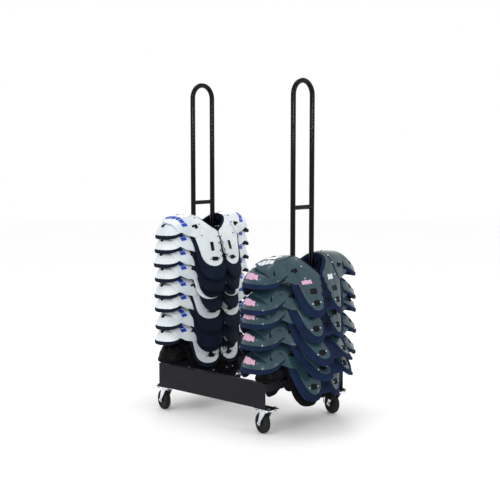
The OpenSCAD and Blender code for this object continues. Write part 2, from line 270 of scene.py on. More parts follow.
def plated_steel(name, colour, roughness):
    """Bright zinc plate: cool metal with a faint yellow and blue cast and pressed-sheet ripples."""
    s = Shader(name, colour, roughness, 1.0)
    cast = s.noise(48, 4)
    s.colour(s.ramp(cast, [(0.30, (colour[0] * 0.86, colour[1] * 0.90, colour[2])), (0.55, colour),
                           (0.80, (colour[0], colour[1] * 0.97, colour[2] * 0.88))]))
    s.roughness(s.span(s.noise(130, 6), roughness * 0.7, roughness * 1.6, 0.35, 0.7))
    s.bump(s.noise(240, 4), 0.15, 0.0005)
    return s.material


def rubber(name, colour):
    """Dusty black rubber: greyer where it has rolled over the floor."""
    s = Shader(name, colour, 0.62, Specular_IOR_Level=0.15)
    dust = s.noise(38, 7, (1, 1, 1), 0.4)
    s.colour(s.ramp(dust, [(0.30, shade(colour, 0.7)), (0.58, colour), (0.85, shade(colour, 3.2))]))
    s.roughness(s.span(dust, 0.50, 0.78, 0.3, 0.75))
    s.bump(s.noise(420, 4), 0.3, 0.0005)
    return s.material


def matte_plastic(name, colour, roughness=0.5):
    """Small moulded fittings with a sandblasted grain."""
    s = Shader(name, colour, roughness, Specular_IOR_Level=0.12)
    grain = s.noise(160, 5)
    s.colour(s.ramp(grain, [(0.3, shade(colour, 0.75)), (0.6, colour), (0.85, shade(colour, 1.6))]))
    s.roughness(s.span(grain, roughness * 0.8, roughness * 1.2, 0.3, 0.7))
    s.bump(s.noise(800, 2), 0.25, 0.0003)
    return s.material


def braided_cord(name, colour):
    """Polyester braid: a fine diagonal rib along and across the lace or strap."""
    s = Shader(name, colour, 0.75, Specular_IOR_Level=0.1)
    ribs = s.maths("MULTIPLY", s.waves(330, "DIAGONAL"), s.waves(330, "Y"))
    s.colour(s.ramp(ribs, [(0.1, shade(colour, 0.5)), (0.5, colour), (0.9, shade(colour, 2.2))]))
    s.roughness(s.span(s.noise(90, 3), 0.6, 0.85, 0.3, 0.7))
    s.bump(ribs, 0.5, 0.0008)
    return s.material


def printed_ink(name, colour, worn):
    """Screen-printed ink on plastic, thinner at its worn spots."""
    s = Shader(name, colour, 0.32, Specular_IOR_Level=0.4)
    s.colour(s.ramp(s.noise(120, 6), [(0.25, worn), (0.42, colour), (0.9, shade(colour, 1.15))]))
    s.roughness(s.span(s.noise(60, 4), 0.25, 0.5, 0.3, 0.7))
    return s.material


def floor_paint():
    """Matt white studio floor with a barely visible unevenness."""
    s = Shader("floor", (0.98, 0.98, 0.98), 0.8)
    s.colour(s.ramp(s.noise(1.2, 3), [(0.3, (0.975, 0.975, 0.975)), (0.7, (0.985, 0.985, 0.985))]))
    return s.material


MATERIALS = {
    "floor": floor_paint(),
    "rack_tube": gloss_paint("rack_tube", (0.0006, 0.0006, 0.0012), 0.12, 0.0001, 0.16),
    "rack_sheet": powder_coat("rack_sheet", (0.012, 0.011, 0.016), 0.45, 0.10),
    "zinc": plated_steel("zinc", (0.78, 0.80, 0.82), 0.24),
    "fastener": plated_steel("fastener", (0.10, 0.10, 0.11), 0.34),
    "hardware": plated_steel("hardware", (0.62, 0.63, 0.65), 0.28),
    "tyre": rubber("tyre", (0.012, 0.012, 0.013)),
    "white_shell": moulded_plastic("white_shell", (0.66, 0.71, 0.74), (0.55, 0.61, 0.65), 0.24, 0.1, 0.4),
    "grey_shell": moulded_plastic("grey_shell", (0.020, 0.050, 0.064), (0.013, 0.034, 0.047),
                                  0.20, 0.15, 0.25),
    # black_shell is painted shade: the lowest set on each post is coloured near-black for the shade under its
    # stack, in place of its own colour.
    "black_shell": moulded_plastic("black_shell", (0.003, 0.003, 0.004), (0.002, 0.002, 0.003),
                                   0.36, 0.0, 0.06),
    "dark_liner": woven_cloth("dark_liner", (0.006, 0.011, 0.024), (0.012, 0.020, 0.038), 2.4, 0.01),
    "navy_liner": woven_cloth("navy_liner", (0.007, 0.015, 0.045), (0.016, 0.030, 0.078), 2.4, 0.015),
    # black_liner is painted shade too: near-black for the shade under the stacks.
    "black_liner": woven_cloth("black_liner", (0.003, 0.003, 0.004), (0.007, 0.007, 0.009), 2.4, 0.0),
    "trim": matte_plastic("trim", (0.004, 0.004, 0.005)),
    "lace": braided_cord("lace", (0.006, 0.006, 0.008)),
    "webbing": braided_cord("webbing", (0.006, 0.006, 0.009)),
    "blue_graphic": printed_ink("blue_graphic", (0.004, 0.040, 0.42), (0.02, 0.08, 0.42)),
    "pale_label": printed_ink("pale_label", (0.62, 0.36, 0.50), (0.36, 0.22, 0.32)),
    "white_ink": printed_ink("white_ink", (0.66, 0.68, 0.72), (0.42, 0.45, 0.50)),
}


# --- mesh helpers -----------------------------------------

SHARP_DEGREES = 42  # edges that turn more than this stay sharp and get a bevel


class Patchwork:
    """Collects closed patches into one mesh. Points are arrays in millimetres."""

    def __init__(self):
        self.points = []
        self.faces = []
        self.count = 0

    def _add(self, points):
        start = self.count
        self.points.append(np.asarray(points, float).reshape(-1, 3))
        self.count += len(self.points[-1])
        return start

    def shell(self, outer, inner, wrap=False):
        """A closed sheet between two grids of one shape. With wrap, the grid closes on itself sideways."""
        rows, cols = outer.shape[:2]
        a, b = self._add(outer), self._add(inner)
        spans = cols if wrap else cols - 1
        for i in range(rows - 1):
            for j in range(spans):
                k = (j + 1) % cols
                quad = (i * cols + j, i * cols + k, (i + 1) * cols + k, (i + 1) * cols + j)
                self.faces.append([a + q for q in quad])
                self.faces.append([b + q for q in reversed(quad)])
        rim = [(end, j, end, (j + 1) % cols) for end in (0, rows - 1) for j in range(spans)]
        if not wrap:
            rim += [(i, end, i + 1, end) for end in (0, cols - 1) for i in range(rows - 1)]
        for i, j, k, m in rim:
            p, q = i * cols + j, k * cols + m
            self.faces.append([a + p, a + q, b + q, b + p])

    def tube(self, path, radii, sides=10, flat=1.0, up=None):
        """A tube along path with round ends. flat squeezes its section along up."""
        path = np.asarray(path, float)
        radii = np.broadcast_to(np.asarray(radii, float), (len(path),))
        tangents = np.gradient(path, axis=0)
        tangents /= np.linalg.norm(tangents, axis=1, keepdims=True)
        if up is None:
            up = np.array([0, 0, 1.0]) if abs(tangents[:, 2]).mean() < 0.8 else np.array([1.0, 0, 0])
        up = np.broadcast_to(np.asarray(up, float), path.shape)
        side = np.cross(tangents, up)
        side /= np.linalg.norm(side, axis=1, keepdims=True)
        top = np.cross(side, tangents)
        around = np.linspace(0, 2 * np.pi, sides, endpoint=False)
        across, along = np.cos(around)[:, None], flat * np.sin(around)[:, None]

        def ring(centre, i, radius):
            return centre + radius * (across * side[i] + along * top[i])

        rings = [ring(path[i], i, radii[i]) for i in range(len(path))]
        for end, sign, i in ((0, -1, 0), (1, 1, len(path) - 1)):
            bulge = radii[i] * min(flat, 1.0)
            cap = [ring(path[i] + sign * tangents[i] * bulge * math.sin(t), i, radii[i] * math.cos(t))
                   for t in (0.5, 1.0, 1.4)]
            rings = rings + cap if end else cap[::-1] + rings
        self.rings(np.array(rings))

    def rings(self, rings):
        """A solid through equal rings of points, with both ends closed."""
        start, count = self._add(rings), rings.shape[1]
        for i in range(len(rings) - 1):
            low, high = start + i * count, start + (i + 1) * count
            for j in range(count):
                k = (j + 1) % count
                self.faces.append([low + j, low + k, high + k, high + j])
        last = start + (len(rings) - 1) * count
        self.faces += [[start + j for j in range(count)], [last + j for j in range(count)]]

    def lathe(self, outline, centre, axis, sides):
        """A solid of revolution: outline is (radius, place along the axis) from one end to the other."""
        axis = np.asarray(axis, float) / np.linalg.norm(axis)
        side = np.cross(axis, [0, 0, 1.0] if abs(axis[2]) < 0.9 else [1.0, 0, 0])
        side /= np.linalg.norm(side)
        top = np.cross(axis, side)
        around = np.linspace(0, 2 * np.pi, sides, endpoint=False)
        circle = np.cos(around)[:, None] * side + np.sin(around)[:, None] * top
        centre = np.asarray(centre, float)
        self.rings(np.array([centre + axis * along + circle * radius for radius, along in outline]))

    def mirror_y(self):
        """Repeats everything so far on the other side of the XZ plane."""
        faces = list(self.faces)
        points = np.concatenate(self.points)
        start = self._add(points * np.array([1, -1, 1]))
        self.faces += [[start + q for q in reversed(face)] for face in faces]

    def build(self, name, matrix, sharp_degrees):
        """Makes the collected patches into one object, in metres, placed by matrix."""
        points = np.concatenate(self.points) * MM
        mesh = bpy.data.meshes.new(name)
        mesh.from_pydata(points.tolist(), [], self.faces)
        mesh.transform(matrix)
        work = bmesh.new()
        work.from_mesh(mesh)
        bmesh.ops.remove_doubles(work, verts=work.verts, dist=0.00002)
        bmesh.ops.dissolve_degenerate(work, edges=work.edges, dist=0.00001)
        bmesh.ops.recalc_face_normals(work, faces=work.faces)
        work.to_mesh(mesh)
        work.free()
        mesh.polygons.foreach_set("use_smooth", [True] * len(mesh.polygons))
        mesh.set_sharp_from_angle(angle=math.radians(sharp_degrees))
        made = bpy.data.objects.new(name, mesh)
        bpy.context.scene.collection.objects.link(made)
        return made


def bevelled(piece, width_mm):
    """Rounds the sharp edges of a piece."""
    modifier = piece.modifiers.new("edges", "BEVEL")
    modifier.width = width_mm * MM
    modifier.segments = 2
    modifier.limit_method = "ANGLE"
    modifier.angle_limit = math.radians(SHARP_DEGREES)
    modifier.harden_normals = False


def dress(piece, slot, body, ink=None):
    """Gives a piece its body and the material of its slot. ink names a material that isn't the slot's own."""
    piece.data.materials.append(MATERIALS[ink or slot])
    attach(piece, body)
    return piece


def smooth_line(points, per=14):
    """Catmull-Rom curve through the rows of points."""
    p = np.asarray(points, float)
    p = np.vstack([2 * p[0] - p[1], p, 2 * p[-1] - p[-2]])
    t = np.linspace(0, 1, per, endpoint=False)[:, None]
    parts = []
    for i in range(1, len(p) - 2):
        a, b, c, d = p[i - 1], p[i], p[i + 1], p[i + 2]
        parts.append(0.5 * (2 * b + (c - a) * t + (2 * a - 5 * b + 4 * c - d) * t**2
                            + (3 * b - a - 3 * c + d) * t**3))
    return np.vstack(parts + [p[-2:-1]])


# --- shoulder pads ----------------------------------------

# Edges across the line of an arch: (distance from the top along it, inner edge, outer edge).
SHOULDER = [(0, 99, 233), (29, 99, 232)]
WHITE_PLATE = SHOULDER + [
    (54, 97, 224), (79, 84, 212), (103, 62, 198), (123, 38, 186), (135, 17, 178), (147, 4, 170),
    (168, 3, 158), (211, 6, 148), (265, 8, 140), (299, 9, 132), (332, 10, 122)]
WHITE_LINER = SHOULDER + [
    (54, 95, 226), (79, 80, 220), (103, 56, 210), (123, 31, 202), (147, 1, 190), (168, 0, 178),
    (211, 1, 168), (265, 2, 162), (299, 3, 158), (333, 4, 154), (410, 6, 136)]
GREY_PLATE = SHOULDER + [
    (54, 97, 226), (79, 86, 216), (103, 66, 204), (123, 46, 192), (147, 16, 178), (168, 12, 166),
    (211, 20, 154), (258, 34, 138), (299, 40, 120), (332, 42, 112)]
GREY_LINER = SHOULDER + [
    (54, 95, 228), (103, 58, 216), (147, 8, 206), (196, 6, 196), (258, 16, 178), (316, 26, 156),
    (370, 30, 136)]
BACK_PLATE = SHOULDER + [
    (50, 93, 226), (74, 74, 216), (94, 48, 207), (110, 24, 198), (124, 8, 190), (200, 8, 168),
    (260, 10, 152), (330, 12, 138)]
BACK_LINER = SHOULDER + [
    (50, 90, 228), (74, 69, 222), (94, 43, 214), (110, 18, 208), (124, 3, 202), (200, 3, 180),
    (260, 4, 164), (370, 8, 144)]
# The line of an arch in the XZ plane: over the shoulder from front to back, then down the back.
OVER_SHOULDER = [(94, -62), (60, -20), (22, -4), (-20, -4), (-56, -22), (-89, -72)]
LONG_BACK = [(-117, -150), (-139, -212), (-158, -268)]
SHORT_BACK = [(-106, -128), (-123, -180), (-138, -226)]
LINE_SPARE = 110  # how far the line runs on, straight, past both of its ends
CHEST_D = 130  # from here down the chest, a pad's own hang moves its outer edges
SHELL_T = 2.8
BOW_TOP = 7  # how far an arch's outer edge bends down at its top
CHEST_ROUND = 60  # radii of the arches' rounded ends
BACK_ROUND = 72
BACK_REACH = 24  # how far a liner reaches past the end of its back plate
BORDER_T = 11  # thickness of a liner away from the shoulder
MID_DEPTH = 9  # depth of a liner's edge line under the outside of the arch
CAP_TUCK = 13  # gap between an epaulet and the dome of the cap under it
CAP_HALF_TURN = 112  # degrees that a cap reaches round to the front and to the back


class Arch:
    """The bent surface of a pad's shell on the +Y side, from the chest over the shoulder to the back.

    s runs along it from the chest end, and top is where it crosses the shoulder. The style's bow_end is how
    far the outer edge bends down at both ends, and its shrink narrows the plate and the liner.
    """

    def __init__(self, style, chest, hang):
        mid = ((chest[2] + 96) / 2 + 2, (chest[3] - 66) / 2)
        table = smooth_line([chest[:2], chest[2:], mid] + OVER_SHOULDER + style["back"])
        before, after = table[0] - table[3], table[-1] - table[-4]
        table = np.vstack([table[0] + before / np.linalg.norm(before) * LINE_SPARE, table,
                           table[-1] + after / np.linalg.norm(after) * LINE_SPARE])
        steps = np.linalg.norm(np.diff(table, axis=0), axis=1)
        self.s = np.concatenate([[0], np.cumsum(steps)]) - LINE_SPARE
        self.length = self.s[-1] - LINE_SPARE
        self.table = table
        tangent = np.gradient(table, self.s, axis=0)
        tangent /= np.linalg.norm(tangent, axis=1, keepdims=True)
        self.normal = np.stack([tangent[:, 1], -tangent[:, 0]], axis=1)
        self.bow_end, self.shrink = style["bow_end"], style["shrink"]
        self.top = float(np.interp(-3, -table[1:-1, 0], self.s[1:-1]))
        plate_shift, self.start, liner_shift = hang
        self.plate, self.liner = np.array(style["plate"], float), np.array(style["liner"], float)
        self.plate[:, 2] += plate_shift * np.clip((self.plate[:, 0] - CHEST_D) / 60, 0, 1)
        self.liner[:, 2] += liner_shift * np.clip((self.liner[:, 0] - CHEST_D) / 60, 0, 1)

    def _look_up(self, s, chest, back):
        d = self.top - np.asarray(s, float)
        inner, outer = (np.where(d >= 0, np.interp(d, chest[:, 0], chest[:, k]),
                                 np.interp(-d, back[:, 0], back[:, k])) for k in (1, 2))
        return inner, outer - self.shrink

    def edges(self, s):
        return self._look_up(s, self.plate, np.array(BACK_PLATE, float))

    def liner_edges(self, s):
        return self._look_up(s, self.liner, np.array(BACK_LINER, float))

    def surface(self, s, y, lift):
        """Points at (s, y), raised by lift off the outside of the bare shell."""
        s, y = np.broadcast_arrays(np.asarray(s, float), np.asarray(y, float))
        x, z = np.interp(s, self.s, self.table[:, 0]), np.interp(s, self.s, self.table[:, 1])
        nx, nz = np.interp(s, self.s, self.normal[:, 0]), np.interp(s, self.s, self.normal[:, 1])
        inner, outer = self.edges(s)
        v = np.clip((y - inner) / (outer - inner), 0, 1.25)
        bow = BOW_TOP + (self.bow_end - BOW_TOP) * (1 - np.exp(-((s - self.top) / 120) ** 2))
        off = lift - bow * v**2
        return np.stack([x + nx * off, y, z + nz * off], axis=-1)


def rounding(distance, radius):
    """Share of the full width at a distance from a rounded end."""
    power = 2.3
    t = np.clip(distance / radius, 0, 1)
    return np.maximum((1 - (1 - t) ** power) ** (1 / power), 0.08)


def run_of(first, last, end_radius):
    """Positions from first to last, close together where both rounded ends turn."""
    ends = end_radius * (1 - np.cos(np.linspace(0, np.pi / 2, 12)))
    middle = np.linspace(first + end_radius, last - end_radius, max(int((last - first) / 8), 4))
    return np.concatenate([first + ends[:-1], middle, (last - ends[:-1])[::-1]])


def grid_over(edges_of, first, last, radii, columns):
    """Grid of (s, y) between two edge lines, with rounded ends, and half its width in each row."""
    s = run_of(first, last, min(radii))
    inner, outer = edges_of(s)
    share = np.minimum(rounding(s - first, radii[0]), rounding(last - s, radii[1]))
    middle, half = (inner + outer) / 2, (outer - inner) / 2 * share
    across = np.sin(np.linspace(-np.pi / 2, np.pi / 2, columns))
    return np.repeat(s[:, None], columns, 1), middle[:, None] + half[:, None] * across[None, :], half


def bead(distance):
    """Moulded ridge, 1.3 mm high, that runs along a shell's edge."""
    return 1.3 * np.exp(-((distance - 7.0) / 2.6) ** 2)


def arch_shell(work, arch):
    """Moulded plate with a bead along its edge and a shallow groove down the middle of the chest."""
    s, y, half = grid_over(arch.edges, arch.start, arch.length, (CHEST_ROUND, BACK_ROUND), 23)
    middle = (y[:, :1] + y[:, -1:]) / 2
    from_side = half[:, None] - abs(y - middle)
    from_end = np.minimum(s - arch.start, arch.length - s)
    lift = bead(np.minimum(from_side, from_end))
    lift = lift - 1.8 * np.exp(-((y - middle) / 15) ** 2) * np.clip((arch.top - s - 70) / 40, 0, 1)
    work.shell(arch.surface(s, y, lift), arch.surface(s, y, lift - SHELL_T))


def soft_noise(s, y, seed):
    """Small folds in stretched cloth, the same on every run."""
    wide = np.sin(s / 13.0 + 1.7 * np.sin(y / 17.0 + seed)) * 0.5
    slanted = np.sin(y / 9.0 + s / 21.0 + 2.3 * seed) * 0.35
    fine = np.sin(s / 5.3 - y / 7.1 + seed) * 0.15
    return wide + slanted + fine


def arch_liner(work, arch, reach, shoulder_t, seed):
    """Stitched cushion under the arch: its border swells past the shell, and its seams pull in."""
    first, last = -reach, arch.length + BACK_REACH
    s, y, half = grid_over(arch.liner_edges, first, last, (CHEST_ROUND + 16, BACK_ROUND + 10), 29)
    middle = (y[:, :1] + y[:, -1:]) / 2
    from_side = half[:, None] - abs(y - middle)
    from_end = np.minimum(s - first, last - s)
    from_rim = np.minimum(from_side, from_end)
    crown = (1 - (1 - np.clip(from_rim / 13, 0, 1)) ** 2.2) ** 0.5
    inner, outer = arch.edges(s)
    beyond = np.maximum(np.maximum(inner - y, y - outer), np.maximum(-s, s - arch.length))
    free = np.clip(beyond / 14, 0, 1)
    seams = np.zeros_like(s)
    for at in (arch.top - 196, arch.top - 96, arch.top + 96, arch.top + 176):
        seams = np.maximum(seams, np.exp(-((s - at) / 4.5) ** 2))
    for at in (-6.0, arch.length + 4):
        seams = np.maximum(seams, 0.7 * np.exp(-((s - at) / 4.5) ** 2))
    folds = 1.1 * soft_noise(s, y, seed) * crown
    upper = -MID_DEPTH + crown * (5.0 + 3.4 * free * (1 - seams)) - 2.0 * seams * crown + folds * free
    thick = BORDER_T + (shoulder_t - BORDER_T) * np.exp(-((s - arch.top) / 30) ** 4)
    lower = -MID_DEPTH - crown * (thick - 5) * (1 - 0.5 * seams) + folds
    work.shell(arch.surface(s, y, np.minimum(upper, 0.5)), arch.surface(s, y, lower))


class Cap:
    """Dome over the upper arm on the +Y side.

    a is the angle in plan from outward (+Y) towards the chest, and rho is 0 at the middle and 1 at the rim.
    yc is the middle's Y, rx, rx_back and ry are the radii, and rise lifts the rim towards front and back.
    """

    def __init__(self, yc, rx, ry, top, drop, rise, rx_back):
        self.yc, self.rx, self.ry, self.rx_back = yc, rx, ry, rx_back
        self.top, self.drop, self.rise = top, drop, rise

    def tuck(self, arch, flap):
        """Keeps the dome under the epaulet that hangs over it."""
        def over(x, y):
            d = np.interp(-x, -arch.table[:, 0], arch.s) - arch.top
            epaulet = flap.at(arch, d, np.minimum(y, flap.far))[..., 2]
            return epaulet - CAP_TUCK - 0.3 * np.clip(y - flap.far, 0, None)

        self.over = over

    def surface(self, a, rho, lift=0.0, lower=0.0):
        """Points at (a, rho), raised by lift off the outside of the dome and let down by lower."""
        a, rho = np.broadcast_arrays(np.asarray(a, float), np.asarray(rho, float))
        drop = self.drop * (1 - self.rise * np.clip(abs(a) / 1.75, 0, 1) ** 4)
        inside = np.sqrt(np.clip(1 - (rho * 0.992) ** 2, 0, 1))
        flare = 1 + 0.3 * np.clip(rho - 0.9, 0, 1)
        rx = np.where(a < 0, self.rx_back, self.rx)
        x = (rx * rho * flare + lift * rho) * np.sin(a)
        y = self.yc + (self.ry * rho * flare + lift * rho) * np.cos(a)
        z = np.minimum(self.top - drop * (1 - inside), self.over(x, y)) + lift * inside - lower
        return np.stack([x, y, z], axis=-1)


def cap_shell(work, cap):
    """Moulded dome with a bead near its rim."""
    a = np.radians(np.linspace(-CAP_HALF_TURN, CAP_HALF_TURN, 45))
    rho = np.sin(np.linspace(0.04, np.pi / 2, 24))
    rho, a = np.meshgrid(rho, a, indexing="ij")
    lift = 1.4 * np.exp(-((rho - 0.93) / 0.025) ** 2)
    work.shell(cap.surface(a, rho, lift), cap.surface(a, rho, lift - SHELL_T))


def cap_cushion(work, cap, seed):
    """Foam lining inside a cap, from near its middle to its rim."""
    half_turn = math.radians(CAP_HALF_TURN - 8)
    rho, a = np.meshgrid(np.linspace(0.34, 1.0, 14), np.linspace(-half_turn, half_turn, 33), indexing="ij")
    rim = np.minimum((1 - rho) * 70, (half_turn - abs(a)) * 60)
    crown = (1 - (1 - np.clip(rim / 12, 0, 1)) ** 2) ** 0.5
    fold = 0.6 * soft_noise(a * 80, rho * 90, seed)
    work.shell(cap.surface(a, rho, -3.6 - 3 * (1 - crown)), cap.surface(a, rho, -6.6 - crown * 8 + fold))


def cap_roll(work, cap, thick, tall):
    """Padded roll along a cap's lower edge, fattest in the middle and pointed at both ends."""
    a = np.radians(np.linspace(3 - CAP_HALF_TURN, CAP_HALF_TURN - 3, 61))
    edge = cap.surface(a, np.ones_like(a), -3.0, tall * 0.40)
    share = np.clip(np.cos(a * 0.79), 0.12, 1) ** 0.5
    around = np.linspace(0, 2 * np.pi, 18, endpoint=False)
    out = np.stack([np.sin(a), np.cos(a), np.zeros_like(a)], axis=1)
    ripple = 1 + 0.03 * np.sin(a * 23) + 0.02 * np.sin(a * 41 + 1)
    c, d = np.cos(around), np.sin(around)
    wide = np.sign(c) * abs(c) ** 0.8 * thick / 2
    high = np.sign(d) * abs(d) ** 0.8 * tall / 2
    scale = (share * ripple)[:, None, None]
    section = out[:, None, :] * wide[None, :, None] + np.array([0, 0, 1.0]) * high[None, :, None]
    work.rings(edge[:, None, :] + scale * section)


class Flap:
    """Epaulet over the shoulder on the +Y side: it follows the arch and droops over the cap.

    Its outline is a closed line of (distance from the top towards the back, y). From droop_from outwards it
    bends down by droop times the square of the distance.
    """

    def __init__(self, outline, centre, droop_from, droop):
        self.centre, self.droop_from, self.droop = centre, droop_from, droop
        closed = np.array(outline + outline[:1], float)
        closed = np.vstack([closed[-2], closed, closed[1]])
        line = smooth_line(closed, 6)
        self.rim = line[6:-7]
        self.far = max(y for _, y in outline) - 6

    def at(self, arch, d, y, lift=0.0):
        """Points at distance d behind the top and at y, raised by lift."""
        d, y = np.broadcast_arrays(np.asarray(d, float), np.asarray(y, float))
        base = arch.surface(arch.top + d, np.minimum(y, self.droop_from + 6), 4.2 + lift)
        behind = np.clip(d / 60, 0, 1.5)
        sag = self.droop * (1 - 0.4 * np.minimum(behind, 1)) * np.clip(y - self.droop_from, 0, None) ** 2
        spring = 9 * behind**2 * np.clip((y - 180) / 60, 0, 1)
        z = base[..., 2] - sag + spring - 2.5 * np.clip((160 - y) / 40, 0, 1)
        return np.stack([base[..., 0], y, z], axis=-1)

    def shell(self, work, arch):
        """The moulded flap, in rings from its centre to its rim, with a bead along the rim."""
        r = np.array([0.0, 0.12, 0.25, 0.38, 0.50, 0.61, 0.71, 0.79, 0.85, 0.90, 0.94, 0.975, 1.0])
        d = self.centre[0] + r[:, None] * (self.rim[None, :, 0] - self.centre[0])
        y = self.centre[1] + r[:, None] * (self.rim[None, :, 1] - self.centre[1])
        lift = 1.2 * np.exp(-((r[:, None] - 0.91) / 0.03) ** 2) + 0 * d
        work.shell(self.at(arch, d, y, lift), self.at(arch, d, y, lift - SHELL_T), wrap=True)

    def local(self, arch, d0, y0, turn):
        """Flat coordinates on the flap around (d0, y0)."""
        c, s = math.cos(turn), math.sin(turn)
        return lambda x, y, lift: self.at(arch, d0 + c * x - s * y, y0 + s * x + c * y, lift)


def arch_local(arch, s0, y0, turn=0.0):
    """Flat coordinates on an arch around (s0, y0): x across it and y along it, towards the shoulder."""
    c, d = math.cos(turn), math.sin(turn)
    return lambda x, y, lift: arch.surface(s0 + c * y + d * x, y0 + c * x - d * y, lift)


def bars(work, surface, widths, tall, slant, gap):
    """Slanted print bars. surface(x, y, lift) maps flat print coordinates to the shell."""
    x0 = -(sum(widths) + gap * (len(widths) - 1)) / 2
    for i, width in enumerate(widths):
        t, w = np.meshgrid(np.linspace(-0.5, 0.5, 7), np.linspace(0, 1, 4), indexing="ij")
        high = tall * (1 - 0.14 * (i % 3 == 1))
        x, y = x0 + w * width + t * high * slant, t * high
        work.shell(surface(x, y, 0.35), surface(x, y, -0.6))
        x0 += width + gap


def ring_fitting(work, surface, width, tall, thick, squareness, rim=0.30):
    """Moulded slot or buckle: a raised rim round a sunken floor."""
    around = np.linspace(0, 2 * np.pi, 36, endpoint=False)
    c, s = np.cos(around), np.sin(around)
    x, y = np.sign(c) * abs(c) ** squareness * width / 2, np.sign(s) * abs(s) ** squareness * tall / 2
    rows = [(0.0, 0.7), (1 - rim - 0.08, 0.7), (1 - rim, thick), (0.93, thick), (1.0, 0.25)]
    top = np.array([surface(x * r, y * r, lift) for r, lift in rows])
    low = np.array([surface(x * r, y * r, -0.8) for r, lift in rows])
    work.shell(top, low, wrap=True)


def rivet(work, centre, normal, radius, height):
    """Domed head that stands on the surface at centre."""
    outline = [(radius, -1.0), (radius, 0.35 * height), (radius * 0.86, 0.7 * height),
               (radius * 0.55, 0.93 * height), (radius * 0.2, height), (0.01, height)]
    work.lathe(outline, centre, normal, 16)


def arch_normal(arch, s, y):
    """Outward direction of the arch at (s, y)."""
    a = arch.surface(s + 2, y, 0) - arch.surface(s - 2, y, 0)
    b = arch.surface(s, y + 2, 0) - arch.surface(s, y - 2, 0)
    n = np.cross(b, a)
    n /= np.linalg.norm(n)
    return n if n @ (arch.surface(s, y, 5) - arch.surface(s, y, 0)) > 0 else -n


def pad_fittings(work, arch, flap, cap, style):
    """Belt slots, buckles and strap anchors on the +Y side."""
    slot_w, slot_h, slot_y, slot_d = style["slot"]
    buckle_w, buckle_h, buckle_y = style["buckle"]
    ring_fitting(work, arch_local(arch, arch.top - slot_d, slot_y, 0.06), slot_w, slot_h, 2.4, 0.22)
    ring_fitting(work, arch_local(arch, 38, buckle_y, 0.10), buckle_w, buckle_h, 3.4, 0.5)
    ring_fitting(work, arch_local(arch, arch.length - 40, 76, 0.1), 36, 20, 3.0, 0.5)
    ring_fitting(work, arch_local(arch, arch.top + 170, 78, 0.0), 18, 44, 2.4, 0.3)
    d0, y0 = style["anchor"]
    ring_fitting(work, flap.local(arch, d0, y0, 0.4), 22, 20, 3.6, 0.3, 0.42)
    ring_fitting(work, flap.local(arch, d0 + 3, y0 + 17, 0.4), 12, 15, 4.4, 0.6, 0.5)
    ring_fitting(work, flap.local(arch, 36, y0 + 14, 0.2), 20, 18, 3.4, 0.3, 0.42)
    angle = math.radians(style["cap_anchor"])
    on_cap = lambda x, y, lift: cap.surface(angle + x / cap.rx, 0.77 + y / 120, lift)
    ring_fitting(work, on_cap, 19, 17, 3.6, 0.3, 0.42)


def pad_rivets(work, arch, flap, style):
    """Rivets beside the buckle, over the plates and round the epaulet, on the +Y side."""
    buckle_w, _, buckle_y = style["buckle"]
    spots = [(38, buckle_y - buckle_w / 2 - 9), (38, buckle_y + buckle_w / 2 + 9), (arch.top - 160, 118),
             (arch.length - 40, 46), (arch.length - 120, 60), (arch.top + 130, 60)]
    for s, y in spots:
        rivet(work, arch.surface(s, y, 0.2), arch_normal(arch, s, y), 3.8, 2.2)
    for d, y in ((-98, 122), (-56, 126), (20, 132), (-20, 240)):
        n = flap.at(arch, d, y, 4) - flap.at(arch, d, y, 0)
        rivet(work, flap.at(arch, d, y, 0.1), n, 4.2, 2.4)


def pad_laces(work, arch, seed, style):
    """Bar, cross and knot over the chest opening, through the eyelets of both plates."""
    inset = style["eyelet"]

    def eyelet(d, sign, lift=2.4):
        inner, _ = arch.edges(arch.top - d)
        return arch.surface(arch.top - d, inner + inset, lift) * np.array([1, sign, 1])

    def run(a, b, bulge):
        t = np.linspace(0, 1, 14)[:, None]
        path = a + (b - a) * t
        path[:, 0] += bulge * np.sin(np.pi * t[:, 0])
        work.tube(path, 1.8, 8, 0.8)

    stations = (174, 206, 250, 274)
    centre = [(eyelet(d, -1) + eyelet(d, 1)) / 2 for d in stations]
    run(eyelet(174, -1), eyelet(174, 1), 2.0)
    run(eyelet(206, -1), eyelet(250, 1), 3.6)
    run(eyelet(206, 1), eyelet(250, -1), 1.4)
    run(centre[0], (eyelet(206, 1) + centre[1]) / 2, 0.6)
    run(eyelet(250, -1), centre[3], 1.0)
    run(eyelet(250, 1), centre[3], 1.8)
    for d in stations[:3]:
        forward = arch_normal(arch, arch.top - d, 20.0) * np.array([1, 0, 1])
        for sign in (-1, 1):
            rivet(work, eyelet(d, sign, 0.2), forward, 3.4, 1.8)
    knot = centre[3] + np.array([4, 0, 0])
    t = np.linspace(0, 2 * np.pi, 26)
    for sign in (-1, 1):
        loop = np.stack([knot[0] + 3 + 2 * np.sin(2 * t), knot[1] + sign * (11 - 11 * np.cos(t)),
                         knot[2] - 7 * np.sin(t) - 3], axis=1)
        work.tube(loop, 2.0, 8, 0.75)
        tail = smooth_line([knot, knot + (4, sign * 5, -12), knot + (6, sign * 7, -24),
                            knot + (6, sign * (5 + seed % 3), -36)], 8)
        work.tube(tail, 2.0, 8, 0.75)
    work.tube(np.array([knot + (2, -6, 0), knot + (4, 0, 1), knot + (2, 6, 0)]), 5.5, 10, 0.85)


def neck_roll(work, arch):
    """Piped roll round the neck opening."""
    s = np.linspace(arch.top - 142, arch.top + 122, 50)
    inner, _ = arch.liner_edges(s)
    path = arch.surface(s, inner - 2.0, -7.0 - 6.0 * np.clip((s - arch.top + 10) / 50, 0, 1))
    share = np.clip(np.minimum(s - s[0], s[-1] - s) / 26, 0.35, 1) ** 0.5
    work.tube(path, 6.6 * share * (1 + 0.04 * np.sin(s / 4.2)), 12)


